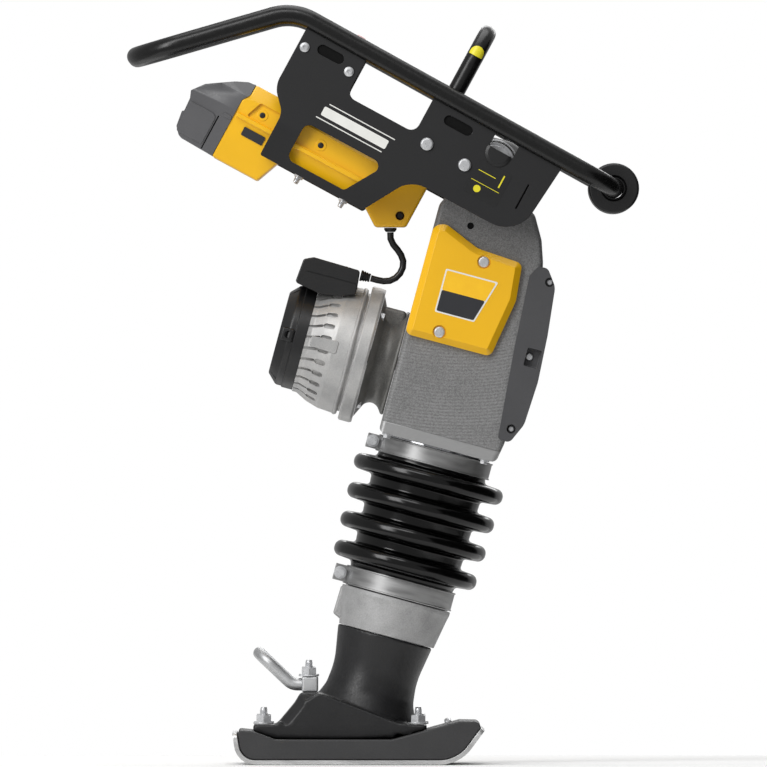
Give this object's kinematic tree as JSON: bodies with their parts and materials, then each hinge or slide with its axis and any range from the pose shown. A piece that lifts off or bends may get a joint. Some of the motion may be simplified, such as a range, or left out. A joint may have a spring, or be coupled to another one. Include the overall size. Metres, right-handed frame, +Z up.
{
  "type": "jumping jack rammer",
  "caption": "Upright battery trench rammer: looped guide handle with side plates, rear battery, motor on a crankcase, bellows leg and upturned steel shoe.",
  "frame": {"origin": "centre of the sole's flat underside", "axes": "+Z up, +X to the front (toe and roller), +Y to the machine's left"},
  "size_m": [0.6888, 0.3254, 1.0218],
  "materials": {
    "powder_black": "matte",
    "gloss_black": "gloss",
    "yellow_plastic": "satin",
    "grey_plastic": "satin",
    "black_plastic": "satin",
    "cast_grey": "matte",
    "cast_black": "satin",
    "bright_metal": "satin",
    "steel": "satin",
    "rubber": "satin",
    "red_plastic": "gloss",
    "green_plastic": "gloss",
    "winding": "satin"
  },
  "bodies": {
    "machine": {"crankcase": "cast_grey", "side_cover_left": "yellow_plastic", "side_cover_right": "yellow_plastic", "front_guard": "grey_plastic", "motor_adapter": "cast_grey", "motor_flange": "bright_metal", "motor_housing": "bright_metal", "fan_cover": "black_plastic", "controller_box": "black_plastic", "cable_boot": "rubber", "power_cable": "rubber", "motor_stator": "winding", "rear_end_shield": "bright_metal", "rear_bearing": "steel", "front_bearing": "steel", "crank_bearing": "steel", "guide_cylinder": "steel", "upper_clamp": "steel", "bellows": "rubber", "rubber_mount_left": "rubber", "rubber_mount_right": "rubber"},
    "handle": {"handle_tube": "gloss_black", "side_plate_left": "powder_black", "side_plate_right": "powder_black", "lifting_hoop": "gloss_black", "battery_housing": "yellow_plastic", "cable_outlet_block": "yellow_plastic", "cable_gland": "black_plastic", "console": "black_plastic"},
    "battery": {"battery_pack": "grey_plastic"},
    "roller": {"front_roller": "black_plastic"},
    "stop_knob": {"stop_button": "red_plastic"},
    "start_knob": {"start_button": "green_plastic"},
    "foot": {"sole_plate": "steel", "shoe_body": "grey_plastic", "foot_casting": "cast_black", "rear_hoop": "steel", "leg_sleeve": "bright_metal", "spring_cylinder": "steel", "cylinder_cap": "steel", "lower_clamp": "steel", "upper_ram_spring": "steel", "lower_ram_spring": "steel", "stud_rear_left": "steel", "stud_rear_right": "steel", "stud_front_left": "steel", "stud_front_right": "steel", "stud_middle_left": "steel", "stud_middle_right": "steel"},
    "piston": {"piston_guide": "steel", "wrist_pin": "steel", "ram_piston": "steel"},
    "rod": {"con_rod": "steel", "crank_pin": "steel"},
    "crank": {"crank_gear": "steel"},
    "rotor": {"motor_shaft": "steel", "motor_pinion": "steel", "rotor_core": "steel", "cooling_fan": "black_plastic"}
  },
  "joints": [
    {"name": "handle_rock", "type": "hinge", "parent": "machine", "child": "handle", "pos_m": [0.19482, 0, 0.80936], "axis": [0, 1, 0], "range_deg": [-3, 3], "stiffness_Nm_per_rad": 3500, "deforming": ["power_cable"]},
    {"name": "battery_slide", "type": "slide", "parent": "handle", "child": "battery", "axis": [-0.8788, 0, 0.4772], "range_m": [0, 0.07]},
    {"name": "roller_spin", "type": "hinge", "parent": "handle", "child": "roller", "pos_m": [0.35622, 0, 0.7755], "axis": [0, 1, 0], "continuous": true},
    {"name": "stop_push", "type": "slide", "parent": "handle", "child": "stop_knob", "axis": [-0.4772, 0, -0.8788], "range_m": [0, 0.005], "stiffness_N_per_m": 900, "springref_m": -0.002},
    {"name": "start_push", "type": "slide", "parent": "handle", "child": "start_knob", "axis": [-0.4772, 0, -0.8788], "range_m": [0, 0.004], "stiffness_N_per_m": 600, "springref_m": -0.002},
    {"name": "foot_stroke", "type": "slide", "parent": "machine", "child": "foot", "axis": [-0.2588, 0, -0.9659], "range_m": [0, 0.065], "deforming": ["bellows", "upper_ram_spring", "lower_ram_spring"]},
    {"name": "piston_slide", "type": "slide", "parent": "machine", "child": "piston", "axis": [-0.2588, 0, -0.9659], "range_m": [0, 0.0521]},
    {"name": "con_rod_swing", "type": "hinge", "parent": "piston", "child": "rod", "pos_m": [0.13962, 0, 0.50715], "axis": [0.9659, 0, -0.2588], "range_deg": [-11.5, 11.5]},
    {"name": "crank_turn", "type": "hinge", "parent": "machine", "child": "crank", "pos_m": [0.16653, 0, 0.6076], "axis": [0.9659, 0, -0.2588], "continuous": true},
    {"name": "rotor_turn", "type": "hinge", "parent": "machine", "child": "rotor", "pos_m": [0.14259, 0, 0.51825], "axis": [0.9659, 0, -0.2588], "continuous": true}
  ],
  "couplings": [
    {"joint": "piston_slide", "follows": "foot_stroke", "ratio": 0.8},
    {"joint": "rotor_turn", "follows": "crank_turn", "ratio": -4.6923}
  ]
}
